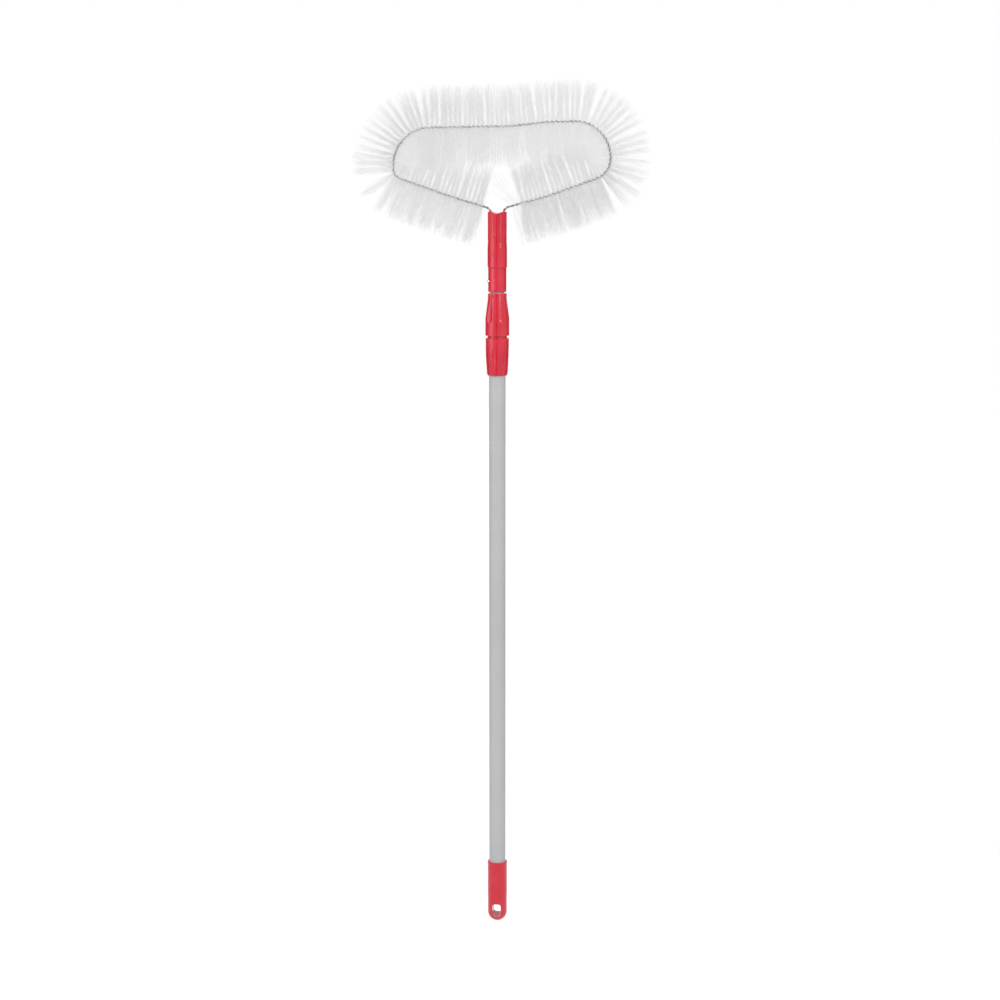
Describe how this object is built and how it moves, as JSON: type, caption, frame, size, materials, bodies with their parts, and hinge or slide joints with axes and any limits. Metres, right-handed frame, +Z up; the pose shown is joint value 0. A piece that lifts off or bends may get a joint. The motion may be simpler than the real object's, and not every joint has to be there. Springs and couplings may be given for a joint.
{
  "type": "cobweb brush",
  "caption": "Telescopic cobweb brush: a loop of twisted wire set with clear bristles on a red socket, a twist-lock pole in two tubes, and an end cap with a hanging slot.",
  "frame": {"origin": "middle of the hanging slot in the end cap, on the pole's axis", "axes": "+Z up the pole to the brush head; +Y through the hanging slot, away from the viewer; +X to the viewer's right, along the wide head"},
  "size_m": [0.3886, 0.1095, 1.1428],
  "materials": {
    "red_plastic": "moulded polypropylene, satin gloss",
    "grey_lacquer": "light grey lacquer on steel tube, satin",
    "inner_lacquer": "light grey lacquer on steel tube, satin",
    "white_acetal": "moulded acetal, natural white",
    "plated_steel": "nickel-plated steel",
    "spring_steel": "bare spring strip",
    "galvanised_wire": "galvanised, drawn and twisted",
    "bristle": "translucent white filament, cut square"
  },
  "bodies": {
    "lower_pole": {"outer_tube": "grey_lacquer", "end_cap": "red_plastic", "lock_collar": "red_plastic"},
    "clamp": {"clamp_ring": "white_acetal"},
    "nut": {"lock_nut": "red_plastic"},
    "upper_pole": {"inner_tube": "inner_lacquer", "inner_tube_guide": "white_acetal", "head_adapter": "red_plastic", "button_spring": "spring_steel"},
    "button": {"catch_button": "plated_steel"},
    "head": {"head_socket": "red_plastic", "wire_strand_a": "galvanised_wire", "wire_strand_b": "galvanised_wire", "bristles_arm_left": "bristle", "bristles_corner_left": "bristle", "bristles_crown_left": "bristle", "bristles_top_left": "bristle", "bristles_top_right": "bristle", "bristles_crown_right": "bristle", "bristles_corner_right": "bristle", "bristles_arm_right": "bristle"}
  },
  "joints": [
    {"name": "pole_extend", "type": "slide", "parent": "lower_pole", "child": "upper_pole", "axis": [0, 0, 1], "range_m": [0, 0.6]},
    {"name": "clamp_lift", "type": "slide", "parent": "lower_pole", "child": "clamp", "axis": [0, 0, 1], "range_m": [0, 0.00134]},
    {"name": "nut_turn", "type": "hinge", "parent": "clamp", "child": "nut", "pos_m": [0, 0, 0.82], "axis": [0, 0, 1], "range_deg": [0, 120]},
    {"name": "button_press", "type": "slide", "parent": "upper_pole", "child": "button", "axis": [0.8988, 0.4384, 0], "range_m": [0, 0.0032], "stiffness_N_per_m": 500, "springref_m": -0.002, "deforming": ["button_spring"]},
    {"name": "head_unscrew", "type": "hinge", "parent": "upper_pole", "child": "head", "pos_m": [0, 0, 0.9], "axis": [0, 0, 1], "range_deg": [0, 360]}
  ],
  "couplings": [
    {"joint": "clamp_lift", "follows": "nut_turn", "m_per_rad": 0.00063662}
  ]
}
